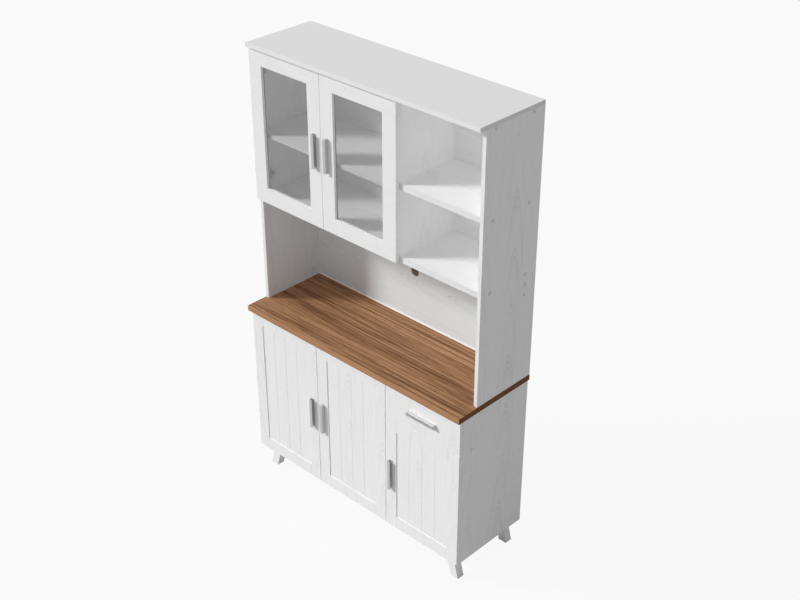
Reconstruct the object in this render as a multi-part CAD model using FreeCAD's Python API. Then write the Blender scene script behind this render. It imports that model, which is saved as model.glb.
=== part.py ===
import FreeCAD, Part
import os

os.makedirs("parts", exist_ok=True)
V = FreeCAD.Vector

# Buffet cabinet: a base with three doors and a drawer, a worktop, and a hutch with
# two glass doors and open shelves. X runs to the right, Y to the rear, Z up. The
# origin is on the floor, under the middle of the worktop.

# Overall sizes, from the floor up: the base and the hutch take theirs from the worktop
worktop_width = 1100.0
worktop_depth = 383.5
worktop_thickness = 23.0
worktop_end_overhang = 7.5
worktop_front_overhang = 33.0
foot_height = 101.4
base_height = 651.3
hutch_height = 1039.3
hutch_depth = 288.5
hutch_end_setback = 2.0
cap_overhang = 29.5
cap_thickness = 15.0

# Boards, and the play of the pieces that seat in one another
board = 15.0
open_shelf_thickness = 21.5
back_thickness = 4.0
back_inset = 8.5
groove_depth = 5.0
fit = 0.1
edge_ease = 0.4
overrun = 2.0

# Gaps round the doors
door_thickness = 15.0
door_standoff = 1.0
base_door_gap = 3.5
glass_door_gap = 2.0
side_reveal = 0.5
bottom_reveal = 1.0
base_top_reveal = 1.5
hutch_top_reveal = 2.0

# Inside of the base
rail_depth = 80.0
drawer_rail_depth = 100.0
drawer_rail_lap = 2.2
shelf_setback = 20.0
shelf_end_play = 1.0
wide_shelf_height = 300.0
small_shelf_height = 230.0

# Inside of the hutch, heights from the worktop or from the hutch floor
bay_height = 435.3
cubby_shelf_height = 257.0
cupboard_shelf_height = 241.0
cupboard_shelf_setback = 1.5
back_rail_height = 100.0
back_rail_setback = 57.0
cable_hole_diameter = 40.0
cable_hole_height = 212.3
cable_hole_offset = 5.0

# Frame and panel doors of the base
frame_width = 53.0
panel_recess = 3.0
panel_thickness = 9.0
panel_groove_depth = 8.0
shoulder_gap = 0.3
bead_width = 2.0
bead_depth = 0.8
bead_boards = 4
drawer_front_height = 143.2

# Glass doors of the hutch, each cut from one board, and the open bay beside them
cubby_width = 356.5
glass_stile = 62.5
glass_bottom_rail = 62.0
glass_top_rail = 60.0
glass_thickness = 3.0
rebate_depth = 5.0
rebate_width = 8.0
retainer_thickness = 1.8

# Channel handles
handle_length = 131.5
handle_width = 12.3
handle_projection = 15.0
handle_wall = 2.0
handle_bend = 3.0
handle_lip_round = 0.9
base_handle_inset = 20.3
glass_handle_inset = 22.5
wide_door_handle_drop = 2.5
small_door_handle_drop = 5.0
drawer_handle_drop = 3.0

# Concealed hinges
cup_end_distance = 90.0
cup_diameter = 35.0
cup_depth = 11.0
cup_wall = 1.0
cup_edge_distance = 5.0
cup_flange_thickness = 0.6
cup_flange_length = 52.0
cup_flange_width = 22.0
cup_flange_shift = 4.0
cup_flange_corner = 6.0
arm_gap = 0.3
arm_width = 14.0
arm_height = 8.0
arm_wall = 1.4
arm_length = 58.0
plate_length = 48.0
plate_width = 28.0
plate_thickness = 3.0
plate_setback = 22.0
plate_corner = 5.0

# Drawer box and its runners
drawer_side_thickness = 12.0
drawer_side_height = 95.0
drawer_depth = 300.0
drawer_lift = 10.0
drawer_bottom_thickness = 3.2
drawer_bottom_lift = 10.0
runner_space = 12.5
runner_height = 35.0
runner_wall = 1.2
runner_reach = 10.0
runner_lip = 3.0
runner_play = 0.4
runner_lift = 30.0

# Shelf pins
pin_diameter = 5.0
pin_insert = 8.0
pin_ledge_length = 8.0
pin_ledge_width = 10.0
pin_ledge_thickness = 2.0
pin_stem_height = 7.0
pin_setback = 45.0

# Splayed feet
foot_end_setback = 47.2
foot_top_width = 41.4
foot_floor_width = 37.4
foot_splay = 26.4
foot_depth = 33.4
foot_front_setback = 18.8
foot_rear_setback = 17.9
foot_ease = 1.5

# Worktop and cap edges
worktop_edge = 1.0
worktop_corner = 1.6

# Levels
base_top = foot_height + base_height
worktop_top = base_top + worktop_thickness
hutch_top = worktop_top + hutch_height
base_floor_top = foot_height + board
base_rail_bottom = base_top - board
hutch_floor_bottom = worktop_top + bay_height
hutch_floor_top = hutch_floor_bottom + open_shelf_thickness
hutch_ceiling = hutch_top - board
cubby_shelf_bottom = hutch_floor_top + cubby_shelf_height
cupboard_shelf_bottom = hutch_floor_top + cupboard_shelf_height
cable_hole_level = worktop_top + cable_hole_height

# Depths
base_depth = worktop_depth - worktop_front_overhang
cap_depth = hutch_depth + cap_overhang
rear = worktop_depth / 2
base_front = rear - base_depth
hutch_front = rear - hutch_depth
back_face = rear - back_inset - back_thickness
back_rail_middle = rear - back_rail_setback

# Widths
base_width = worktop_width - 2 * worktop_end_overhang
hutch_width = worktop_width - 2 * hutch_end_setback
base_outer = base_width / 2
base_inner = base_outer - board
hutch_outer = hutch_width / 2
hutch_inner = hutch_outer - board
base_door_width = (base_width - 2 * side_reveal - 2 * base_door_gap) / 3
base_partition_middle = base_door_width / 2 + base_door_gap / 2
base_partition_left = base_partition_middle - board / 2
base_partition_right = base_partition_middle + board / 2
hutch_partition_right = hutch_inner - cubby_width
hutch_partition_left = hutch_partition_right - board
glass_door_width = (hutch_partition_right + hutch_outer - side_reveal - glass_door_gap) / 2
foot_top_outer = base_outer - foot_end_setback
foot_top_inner = foot_top_outer - foot_top_width
foot_floor_outer = foot_top_outer + foot_splay
foot_floor_inner = foot_floor_outer - foot_floor_width

# Door and drawer levels
base_door_low = foot_height + bottom_reveal
base_door_high = base_top - base_top_reveal
drawer_low = base_door_high - drawer_front_height
small_door_high = drawer_low - base_door_gap
glass_door_low = hutch_floor_bottom + bottom_reveal
glass_door_high = hutch_top - hutch_top_reveal
drawer_rail_top = drawer_low + drawer_rail_lap
drawer_rail_bottom = drawer_rail_top - board
wide_shelf_bottom = base_floor_top + wide_shelf_height
small_shelf_bottom = base_floor_top + small_shelf_height


def save(name, shapes):
    shape = shapes if isinstance(shapes, Part.Shape) else Part.makeCompound(shapes)
    shape.exportStep("parts/" + name + ".step")


def block(x_pair, y_pair, z_pair):
    """A square block between pairs of coordinates, in any order."""
    low = V(min(x_pair), min(y_pair), min(z_pair))
    high = V(max(x_pair), max(y_pair), max(z_pair))
    size = high - low
    return Part.makeBox(size.x, size.y, size.z, low)


def rod(radius, length, start, direction):
    return Part.makeCylinder(radius, length, start, direction)


def eased(shape, size, chosen):
    """The shape with a chamfer on every edge that chosen accepts."""
    edges = [edge for edge in shape.Edges if chosen(edge)]
    return shape.makeChamfer(size, edges)


def front_edges(y):
    """Picks the edges that lie in the plane of a front face."""
    return lambda edge: all(abs(vertex.Y - y) < fit / 2 for vertex in edge.Vertexes)


# Shelf pins and their holes
def shelf_pin_places(wall_low, wall_high, front, back):
    """Four places beside a loose shelf: wall, side that the pin points to, depth."""
    depths = (front + pin_setback, back - pin_setback)
    return [(wall, side, y) for wall, side in ((wall_low, 1), (wall_high, -1)) for y in depths]


def shelf_pin(wall, side, y, shelf_bottom):
    """A pin pressed into the wall, with a flat bracket whose ledge carries the shelf."""
    across = (y - pin_ledge_width / 2, y + pin_ledge_width / 2)
    ledge = block((wall, wall + side * pin_ledge_length), across,
                  (shelf_bottom - pin_ledge_thickness, shelf_bottom))
    stem = block((wall, wall + side * pin_ledge_thickness), across,
                 (shelf_bottom - pin_stem_height, shelf_bottom))
    insert = rod(pin_diameter / 2, pin_insert, pin_start(wall, y, shelf_bottom), V(-side, 0, 0))
    return ledge.fuse(stem).fuse(insert).removeSplitter()


def pin_start(wall, y, shelf_bottom):
    return V(wall, y, shelf_bottom - pin_stem_height / 2)


def pin_hole(wall, side, y, shelf_bottom):
    start = pin_start(wall, y, shelf_bottom)
    return rod(pin_diameter / 2 + fit / 2, pin_insert + fit, start, V(-side, 0, 0))


wide_shelf_pins = shelf_pin_places(-base_inner, base_partition_left,
                                   base_front + shelf_setback, back_face)
small_shelf_pins = shelf_pin_places(base_partition_right, base_inner,
                                    base_front + shelf_setback, back_face)
cupboard_shelf_pins = shelf_pin_places(-hutch_inner, hutch_partition_left,
                                       hutch_front + cupboard_shelf_setback, back_face)


def with_pin_holes(panel, places, wall, shelf_bottom):
    for place in places:
        if place[0] == wall:
            panel = panel.cut(pin_hole(*place, shelf_bottom))
    return panel


# Carcass boards
def back_groove(x_pair, z_pair):
    """The slot for a back panel, along the part of a board that the pairs span."""
    return block(x_pair, (back_face - fit / 2, back_face + back_thickness + fit / 2), z_pair)


def side_panel(outer, side, front, z_pair):
    """An upright side with the groove that holds the back panel."""
    inner = side * (outer - board)
    panel = block((side * outer, inner), (front, rear), z_pair)
    low, high = z_pair
    return panel.cut(back_groove((inner - side * overrun, inner + side * groove_depth),
                                 (low - overrun, high + overrun)))


def base_side(side):
    panel = side_panel(base_outer, side, base_front, (foot_height, base_top))
    if side < 0:
        return with_pin_holes(panel, wide_shelf_pins, -base_inner, wide_shelf_bottom)
    return with_pin_holes(panel, small_shelf_pins, base_inner, small_shelf_bottom)


def base_floor():
    floor = block((-base_inner, base_inner), (base_front, rear), (foot_height, base_floor_top))
    return floor.cut(back_groove((-base_outer, base_outer),
                                 (base_floor_top - groove_depth, base_floor_top + overrun)))


def base_partition():
    panel = block((base_partition_left, base_partition_right), (base_front, back_face),
                  (base_floor_top, base_rail_bottom))
    panel = with_pin_holes(panel, wide_shelf_pins, base_partition_left, wide_shelf_bottom)
    return with_pin_holes(panel, small_shelf_pins, base_partition_right, small_shelf_bottom)


def base_top_rails():
    width = (-base_inner, base_inner)
    levels = (base_rail_bottom, base_top)
    front = block(width, (base_front, base_front + rail_depth), levels)
    back = block(width, (rear - rail_depth, rear), levels)
    slot = back_groove((-base_outer, base_outer),
                       (base_rail_bottom - overrun, base_rail_bottom + groove_depth))
    return [front, back.cut(slot)]


def back_panel(inner, z_pair):
    reach = inner + groove_depth - fit
    return block((-reach, reach), (back_face, back_face + back_thickness), z_pair)


def base_back():
    return back_panel(base_inner, (base_floor_top - groove_depth + fit,
                                   base_rail_bottom + groove_depth - fit))


def drawer_rail():
    return block((base_partition_right, base_inner), (base_front, base_front + drawer_rail_depth),
                 (drawer_rail_bottom, drawer_rail_top))


def loose_shelf(left, right, front, bottom):
    return block((left + shelf_end_play, right - shelf_end_play), (front, back_face),
                 (bottom, bottom + board))


# Feet
def foot_front_faces():
    return (base_front + foot_front_setback, rear - foot_rear_setback - foot_depth)


def foot(side, front):
    """A square foot that tapers and leans outwards to the floor."""
    outline = [V(side * foot_top_outer, front, foot_height), V(side * foot_floor_outer, front, 0),
               V(side * foot_floor_inner, front, 0), V(side * foot_top_inner, front, foot_height)]
    solid = Part.Face(Part.makePolygon(outline + outline[:1])).extrude(V(0, foot_depth, 0))
    return eased(solid, foot_ease, lambda edge: edge.BoundBox.ZLength > fit)


# Worktop
def worktop():
    half = worktop_width / 2
    top = block((-half, half), (-rear, rear), (base_top, worktop_top))
    top = top.makeFillet(worktop_corner, [edge for edge in top.Edges if edge.BoundBox.ZLength > fit])
    return eased(top, worktop_edge,
                 lambda edge: edge.BoundBox.ZLength < fit and edge.BoundBox.YMin < rear - fit)


# Hutch boards
def hutch_side(side):
    panel = side_panel(hutch_outer, side, hutch_front, (worktop_top, hutch_top))
    return with_pin_holes(panel, cupboard_shelf_pins, side * hutch_inner, cupboard_shelf_bottom)


def hutch_ceiling_board():
    ceiling = block((-hutch_inner, hutch_inner), (hutch_front, rear), (hutch_ceiling, hutch_top))
    return ceiling.cut(back_groove((-hutch_outer, hutch_outer),
                                   (hutch_ceiling - overrun, hutch_ceiling + groove_depth)))


def hutch_cap():
    cap = block((-hutch_outer, hutch_outer), (rear - cap_depth, rear),
                (hutch_top, hutch_top + cap_thickness))
    return eased(cap, edge_ease, lambda edge: edge.BoundBox.YMin < rear - fit)


def hutch_floor():
    return block((-hutch_inner, hutch_inner), (hutch_front, back_face),
                 (hutch_floor_bottom, hutch_floor_top))


def hutch_partition():
    panel = block((hutch_partition_left, hutch_partition_right), (hutch_front, back_face),
                  (hutch_floor_top, hutch_ceiling))
    return with_pin_holes(panel, cupboard_shelf_pins, hutch_partition_left, cupboard_shelf_bottom)


def cubby_shelf():
    return block((hutch_partition_right, hutch_inner), (hutch_front, back_face),
                 (cubby_shelf_bottom, cubby_shelf_bottom + open_shelf_thickness))


def hutch_back():
    panel = back_panel(hutch_inner, (worktop_top, hutch_ceiling + groove_depth - fit))
    hole = rod(cable_hole_diameter / 2, back_thickness + 2 * overrun,
               V(-cable_hole_offset, back_face - overrun, cable_hole_level), V(0, 1, 0))
    return panel.cut(hole)


def hutch_back_rail():
    return block((-hutch_inner, hutch_inner), (back_rail_middle - board / 2, back_rail_middle + board / 2),
                 (hutch_floor_bottom - back_rail_height, hutch_floor_bottom))


# Handle, in its own frame: the door face is the plane Y = 0, the web stands on X = 0
def channel_handle():
    half = handle_length / 2
    outer = block((0, handle_width), (0, -handle_projection), (-half, half))
    inner = block((handle_wall, handle_width + overrun), (-handle_wall, handle_wall - handle_projection),
                  (-half - overrun, half + overrun))
    channel = outer.cut(inner)

    def upright_at(x, y):
        return [edge for edge in channel.Edges
                if all(abs(v.X - x) < fit / 2 and abs(v.Y - y) < fit / 2 for v in edge.Vertexes)]

    channel = channel.makeFillet(handle_bend, upright_at(0, -handle_projection))
    channel = channel.makeFillet(handle_bend - handle_wall,
                                 upright_at(handle_wall, handle_wall - handle_projection))
    lip = upright_at(handle_width, -handle_projection)
    lip += upright_at(handle_width, handle_wall - handle_projection)
    return channel.makeFillet(handle_lip_round, lip)


def set_on(shape, side, x, y, z):
    """A copy of a left-hand piece, mirrored for the right side, set at a place."""
    piece = shape.copy() if side < 0 else shape.mirror(V(0, 0, 0), V(1, 0, 0))
    piece.translate(V(x, y, z))
    return piece


# Hinge cup, in the frame of the door's back: hinge edge at X = 0, door at negative Y
def hinge_cup():
    middle = cup_edge_distance + cup_diameter / 2
    shell = rod(cup_diameter / 2 - fit / 2, cup_depth, V(middle, 0, 0), V(0, -1, 0))
    half_width = cup_flange_width / 2
    half_length = cup_flange_length / 2
    flange = block((middle + cup_flange_shift - half_width, middle + cup_flange_shift + half_width),
                   (0, cup_flange_thickness), (-half_length, half_length))
    flange = eased(flange, cup_flange_corner, lambda edge: edge.BoundBox.YLength > fit)
    rim = rod(cup_diameter / 2 - fit / 2, cup_flange_thickness, V(middle, 0, 0), V(0, 1, 0))
    hollow = rod(cup_diameter / 2 - cup_wall, cup_depth - cup_wall + overrun,
                 V(middle, cup_wall - cup_depth, 0), V(0, 1, 0))
    return shell.fuse(flange).fuse(rim).cut(hollow).removeSplitter()


def cup_hole():
    middle = cup_edge_distance + cup_diameter / 2
    return rod(cup_diameter / 2, cup_depth + fit / 2 + overrun, V(middle, overrun, 0), V(0, -1, 0))


# Hinge arm, in the frame of the wall that carries it: wall at X = 0, its front edge at Y = 0
def hinge_arm():
    plate = block((0, plate_thickness), (plate_setback, plate_setback + plate_width),
                  (-plate_length / 2, plate_length / 2))
    plate = eased(plate, plate_corner, lambda edge: edge.BoundBox.XLength > fit)
    front = cup_flange_thickness + arm_gap - door_standoff
    half_arm = arm_width / 2
    arm_top = plate_thickness + arm_height
    arm = block((plate_thickness, arm_top), (front, front + arm_length), (-half_arm, half_arm))
    arm = eased(arm, arm_wall, lambda edge: edge.BoundBox.XMin > arm_top - fit)
    hollow = block((plate_thickness - overrun, arm_top - arm_wall), (front - overrun, plate_setback),
                   (arm_wall - half_arm, half_arm - arm_wall))
    return plate.fuse(arm.cut(hollow)).removeSplitter()


def hinge_levels(low, high):
    return (low + cup_end_distance, high - cup_end_distance)


# The five doors: where each one hangs, its outline and its handle
def door(name, left, width, low, high, hinge_side, wall, carcass_front, inset, drop, web_side):
    right = left + width
    free_edge = right if hinge_side < 0 else left
    near = free_edge + hinge_side * inset
    far = near + hinge_side * handle_width
    web_x = min(near, far) if web_side < 0 else max(near, far)
    return {"name": name, "left": left, "right": right, "low": low, "high": high,
            "hinge_side": hinge_side, "hinge_edge": left if hinge_side < 0 else right,
            "wall": wall, "front": carcass_front - door_standoff - door_thickness,
            "web_side": web_side, "web_x": web_x, "handle_level": (low + high) / 2 - drop}


base_left = side_reveal - base_outer
base_step = base_door_width + base_door_gap
glass_left = side_reveal - hutch_outer
base_doors = [
    door("lower_door_left", base_left, base_door_width, base_door_low, base_door_high, -1,
         -base_inner, base_front, base_handle_inset, wide_door_handle_drop, -1),
    door("lower_door_middle", base_left + base_step, base_door_width, base_door_low, base_door_high, 1,
         base_partition_left, base_front, base_handle_inset, wide_door_handle_drop, 1),
    door("lower_door_right", base_left + 2 * base_step, base_door_width, base_door_low, small_door_high, 1,
         base_inner, base_front, base_handle_inset, small_door_handle_drop, -1),
]
glass_doors = [
    door("glass_door_left", glass_left, glass_door_width, glass_door_low, glass_door_high, -1,
         -hutch_inner, hutch_front, glass_handle_inset, 0, -1),
    door("glass_door_right", glass_left + glass_door_width + glass_door_gap, glass_door_width,
         glass_door_low, glass_door_high, 1, hutch_partition_left, hutch_front, glass_handle_inset, 0, 1),
]


def on_hinge_stile(shape, item):
    """Copies of a hinge piece at the two hinge heights of a door."""
    back = item["front"] + door_thickness
    return [set_on(shape, item["hinge_side"], item["hinge_edge"], back, level)
            for level in hinge_levels(item["low"], item["high"])]


def on_hinge_wall(shape, item):
    """Copies of a hinge piece on the wall beside a door, at the same heights."""
    carcass_front = item["front"] + door_thickness + door_standoff
    return [set_on(shape, item["hinge_side"], item["wall"], carcass_front, level)
            for level in hinge_levels(item["low"], item["high"])]


def drill_door(shape, item):
    for hole in on_hinge_stile(cup_hole(), item):
        shape = shape.cut(hole)
    return shape


def panel_groove_y(item):
    groove_front = item["front"] + panel_recess
    return (groove_front, groove_front + panel_thickness)


def frame_stiles(item):
    """The full-height stiles of a door, each grooved along its inner edge."""
    left, right, low, high, front = (item[key] for key in ("left", "right", "low", "high", "front"))
    over = (low - overrun, high + overrun)
    stiles = []
    for outer, inward in ((left, 1), (right, -1)):
        inner = outer + inward * frame_width
        stile = block((outer, inner), (front, front + door_thickness), (low, high))
        stile = eased(stile, edge_ease, front_edges(front))
        slot = block((inner - inward * panel_groove_depth, inner + inward * overrun),
                     panel_groove_y(item), over)
        stiles.append(drill_door(stile.cut(slot), item))
    return stiles


def frame_rails(item):
    """The rails between the stiles: stub tenons at their ends fill the stiles' grooves."""
    shoulder = frame_width + shoulder_gap
    left, right, front = item["left"] + shoulder, item["right"] - shoulder, item["front"]
    tenon = panel_groove_depth + shoulder_gap - fit
    groove_y = panel_groove_y(item)
    tongue_y = (groove_y[0] + fit / 2, groove_y[1] - fit / 2)
    rails = []
    for outer, inward in ((item["low"], 1), (item["high"], -1)):
        inner = outer + inward * frame_width
        rail = block((left, right), (front, front + door_thickness), (outer, inner))
        rail = eased(rail, edge_ease, front_edges(front))
        rail = rail.fuse(block((left - tenon, right + tenon), tongue_y, (outer, inner))).removeSplitter()
        slot = block((left - frame_width, right + frame_width), groove_y,
                     (inner - inward * panel_groove_depth, inner + inward * overrun))
        rails.append(rail.cut(slot))
    return rails


def beaded_panel(item):
    """The thin panel that floats in the frame, with upright beads between its boards."""
    reach = panel_groove_depth - fit
    left, right = item["left"] + frame_width, item["right"] - frame_width
    low, high = item["low"] + frame_width, item["high"] - frame_width
    face = panel_groove_y(item)[0] + fit / 2
    panel = block((left - reach, right + reach), (face, face + panel_thickness - fit),
                  (low - reach, high + reach))
    pitch = (right - left) / bead_boards
    for number in range(1, bead_boards):
        x = left + number * pitch
        outline = [V(x - bead_width / 2, face, low - reach), V(x, face + bead_depth, low - reach),
                   V(x + bead_width / 2, face, low - reach)]
        bead = Part.Face(Part.makePolygon(outline + outline[:1])).extrude(V(0, 0, high - low + 2 * reach))
        panel = panel.cut(bead)
    return panel


def window(item):
    """Window edges of a glass door: left, right, low and high."""
    return (item["left"] + glass_stile, item["right"] - glass_stile,
            item["low"] + glass_bottom_rail, item["high"] - glass_top_rail)


def around_window(item, margin, y_pair):
    left, right, low, high = window(item)
    return block((left - margin, right + margin), y_pair, (low - margin, high + margin))


def glass_door_frame(item):
    """One board with a window cut out and a rebate behind it for the pane."""
    front = item["front"]
    back = front + door_thickness
    frame = block((item["left"], item["right"]), (front, back), (item["low"], item["high"]))
    frame = frame.cut(around_window(item, 0, (front - overrun, back + overrun)))
    frame = eased(frame, edge_ease, front_edges(front))
    frame = frame.cut(around_window(item, rebate_width, (back - rebate_depth, back + overrun)))
    return drill_door(frame, item)


def glass_pane(item):
    seat = item["front"] + door_thickness - rebate_depth
    return around_window(item, rebate_width - fit, (seat, seat + glass_thickness))


def pane_retainer(item):
    """The flat strip round the pane that holds it in its rebate."""
    seat = item["front"] + door_thickness - rebate_depth + glass_thickness
    ring = around_window(item, rebate_width - fit, (seat, seat + retainer_thickness))
    return ring.cut(around_window(item, 0, (seat - overrun, seat + retainer_thickness + overrun)))


def door_handle(item):
    return set_on(channel_handle(), item["web_side"], item["web_x"], item["front"], item["handle_level"])


# Drawer
drawer_left = base_left + 2 * base_step
drawer_right = drawer_left + base_door_width
drawer_front_face = base_front - door_standoff - door_thickness
drawer_back_face = drawer_front_face + door_thickness
box_left = base_partition_right + runner_space
box_right = base_inner - runner_space
box_bottom = drawer_rail_top + drawer_lift
box_top = box_bottom + drawer_side_height
drawer_bottom_level = box_bottom + drawer_bottom_lift
runner_middle = box_bottom + runner_lift
drawer_middle = (drawer_left + drawer_right) / 2
drawer_handle_level = (drawer_low + base_door_high) / 2 - drawer_handle_drop + handle_width / 2


def drawer_handle():
    """The same handle, lying with its web on top."""
    handle = channel_handle()
    handle.rotate(V(0, 0, 0), V(0, 1, 0), 90)
    handle.translate(V(drawer_middle, drawer_front_face, drawer_handle_level))
    return handle


def drawer_groove():
    """The slot round the box that holds the bottom."""
    reach = groove_depth
    return block((box_left + drawer_side_thickness - reach, box_right - drawer_side_thickness + reach),
                 (drawer_back_face - reach, drawer_back_face + drawer_depth + overrun),
                 (drawer_bottom_level - fit / 2, drawer_bottom_level + drawer_bottom_thickness + fit / 2))


def drawer_front():
    front = block((drawer_left, drawer_right), (drawer_front_face, drawer_back_face),
                  (drawer_low, base_door_high))
    return eased(front, edge_ease, front_edges(drawer_front_face)).cut(drawer_groove())


def drawer_side(outer, inward):
    side = block((outer, outer + inward * drawer_side_thickness),
                 (drawer_back_face, drawer_back_face + drawer_depth), (box_bottom, box_top))
    return side.cut(drawer_groove())


def drawer_back():
    end = drawer_back_face + drawer_depth
    bottom = drawer_bottom_level + drawer_bottom_thickness + fit / 2
    return block((box_left + drawer_side_thickness, box_right - drawer_side_thickness),
                 (end - drawer_side_thickness, end), (bottom, box_top))


def drawer_bottom():
    reach = groove_depth - fit
    return block((box_left + drawer_side_thickness - reach, box_right - drawer_side_thickness + reach),
                 (drawer_back_face - reach, drawer_back_face + drawer_depth),
                 (drawer_bottom_level, drawer_bottom_level + drawer_bottom_thickness))


def runner_channel(wall, inward, height, reach, lip):
    """A rolled steel channel along the drawer, open away from the wall that carries it."""
    half = height / 2
    y_pair = (base_front, base_front + drawer_depth)
    y_cut = (y_pair[0] - overrun, y_pair[1] + overrun)
    floor = wall + inward * runner_wall
    inside = half - runner_wall
    mouth = inside - lip
    channel = block((wall, wall + inward * reach), y_pair, (runner_middle - half, runner_middle + half))
    channel = channel.cut(block((floor, wall + inward * (reach - min(lip, runner_wall))), y_cut,
                                (runner_middle - inside, runner_middle + inside)))
    return channel.cut(block((floor, wall + inward * (reach + overrun)), y_cut,
                             (runner_middle - mouth, runner_middle + mouth)))


def cabinet_runner(wall, inward):
    return runner_channel(wall, inward, runner_height, runner_reach, runner_lip)


def drawer_runner(side_face, outward):
    height = runner_height - 2 * (runner_wall + runner_lip + runner_play)
    return runner_channel(side_face, outward, height, runner_space - runner_wall - runner_play, 0)


# Write every piece: the base first, then the worktop, the hutch, the doors and the drawer
save("base_side_left", base_side(-1))
save("base_side_right", base_side(1))
save("base_floor", base_floor())
save("base_partition", base_partition())
save("base_top_rails", base_top_rails())
save("base_back", base_back())
save("drawer_rail", drawer_rail())
save("wide_shelf", loose_shelf(-base_inner, base_partition_left,
                               base_front + shelf_setback, wide_shelf_bottom))
save("small_shelf", loose_shelf(base_partition_right, base_inner,
                                base_front + shelf_setback, small_shelf_bottom))
for side, side_name in ((-1, "left"), (1, "right")):
    for place, front in zip(("front", "rear"), foot_front_faces()):
        save("foot_" + place + "_" + side_name, foot(side, front))

save("worktop", worktop())

save("hutch_side_left", hutch_side(-1))
save("hutch_side_right", hutch_side(1))
save("hutch_ceiling", hutch_ceiling_board())
save("hutch_cap", hutch_cap())
save("hutch_floor", hutch_floor())
save("hutch_partition", hutch_partition())
save("cubby_shelf", cubby_shelf())
save("cupboard_shelf", loose_shelf(-hutch_inner, hutch_partition_left,
                                   hutch_front + cupboard_shelf_setback, cupboard_shelf_bottom))
save("hutch_back", hutch_back())
save("hutch_back_rail", hutch_back_rail())
save("shelf_pins", [shelf_pin(*place, wide_shelf_bottom) for place in wide_shelf_pins]
     + [shelf_pin(*place, small_shelf_bottom) for place in small_shelf_pins]
     + [shelf_pin(*place, cupboard_shelf_bottom) for place in cupboard_shelf_pins])

arm = hinge_arm()
save("hinge_arms", [piece for item in base_doors + glass_doors for piece in on_hinge_wall(arm, item)])

for item in base_doors:
    save(item["name"] + "_stiles", frame_stiles(item))
    save(item["name"] + "_rails", frame_rails(item))
    save(item["name"] + "_panel", beaded_panel(item))
for item in glass_doors:
    save(item["name"] + "_frame", glass_door_frame(item))
    save(item["name"] + "_pane", glass_pane(item))
    save(item["name"] + "_retainer", pane_retainer(item))
for item in base_doors + glass_doors:
    save(item["name"] + "_handle", door_handle(item))
    save(item["name"] + "_hinge_cups", on_hinge_stile(hinge_cup(), item))

save("drawer_front", drawer_front())
save("drawer_side_left", drawer_side(box_left, 1))
save("drawer_side_right", drawer_side(box_right, -1))
save("drawer_back", drawer_back())
save("drawer_bottom", drawer_bottom())
save("drawer_handle", drawer_handle())
save("drawer_slides", [drawer_runner(box_left, -1), drawer_runner(box_right, 1)])
save("drawer_runner_left", cabinet_runner(base_partition_right, 1))
save("drawer_runner_right", cabinet_runner(base_inner, -1))
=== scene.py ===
import math

import bmesh
import bpy
from mathutils import Matrix, Vector


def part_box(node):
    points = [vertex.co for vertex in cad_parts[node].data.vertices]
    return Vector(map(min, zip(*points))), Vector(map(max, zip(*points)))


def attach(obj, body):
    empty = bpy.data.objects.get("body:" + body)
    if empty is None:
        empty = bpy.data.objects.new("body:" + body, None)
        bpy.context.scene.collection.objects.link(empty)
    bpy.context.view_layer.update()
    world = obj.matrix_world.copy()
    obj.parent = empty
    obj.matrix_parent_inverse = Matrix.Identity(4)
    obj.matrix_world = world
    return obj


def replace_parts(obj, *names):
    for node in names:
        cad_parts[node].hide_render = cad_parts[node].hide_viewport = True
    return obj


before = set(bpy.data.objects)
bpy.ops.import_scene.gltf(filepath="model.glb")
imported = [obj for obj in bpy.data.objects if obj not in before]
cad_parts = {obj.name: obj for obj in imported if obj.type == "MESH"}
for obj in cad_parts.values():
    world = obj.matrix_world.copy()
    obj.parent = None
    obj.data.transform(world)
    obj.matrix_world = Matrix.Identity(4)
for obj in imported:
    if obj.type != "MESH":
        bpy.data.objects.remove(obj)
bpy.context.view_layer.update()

# Base carcass. Two sides, a floor, a partition, two top rails and a drawer rail, all 15 mm
# chipboard faced with white wood-print foil, with loose shelves and a thin back panel. The
# print runs upright on the uprights and along the shelves and rails. Cam fittings join them.


class Wire:
    """A socket of a finish's nodes. Sums on it are written as plain arithmetic."""

    def __init__(self, tree, socket=None):
        self.tree = tree
        self.socket = socket

    def node(self, kind, settings, inputs, output=None):
        """Adds a node: its settings first, then the values or links of its sockets.

        output names the socket that is returned, which is otherwise the node's first one.
        """
        made = self.tree.nodes.new(kind)
        for name, value in settings.items():
            if name == "stops":
                set_stops(made.color_ramp, value)
            else:
                setattr(made, name, value)
        for key, value in inputs.items():
            named = [s for s in made.inputs if s.enabled and s.name == key]
            socket = named[0] if named else made.inputs[key]
            if isinstance(value, Wire):
                self.tree.links.new(value.socket, socket)
            else:
                socket.default_value = value
        shown = [s for s in made.outputs if s.enabled and output in (None, s.name)]
        return Wire(self.tree, shown[0])

    def math(self, operation, *values):
        return self.node("ShaderNodeMath", {"operation": operation}, dict(enumerate(values)))

    def __abs__(self):
        return self.math("ABSOLUTE", self)

    def __add__(self, other):
        return self.math("ADD", self, other)

    __radd__ = __add__

    def __sub__(self, other):
        return self.math("SUBTRACT", self, other)

    def __rsub__(self, other):
        return self.math("SUBTRACT", other, self)

    def __mul__(self, other):
        return self.math("MULTIPLY", self, other)

    def __pow__(self, other):
        return self.math("POWER", self, other)


def set_stops(ramp, stops):
    """Sets the stops of a colour ramp, given as (place, colour) pairs."""
    while len(ramp.elements) < len(stops):
        ramp.elements.new(1.0)
    for element, (place, colour) in zip(ramp.elements, stops):
        element.position = place
        element.color = (*colour, 1.0)


def new_finish(name):
    """An empty node material, its shader and the wire that its nodes start from."""
    material = bpy.data.materials.new(name)
    material.use_nodes = True
    tree = material.node_tree
    shader = tree.nodes["Principled BSDF"]
    return material, shader, Wire(tree)


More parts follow.
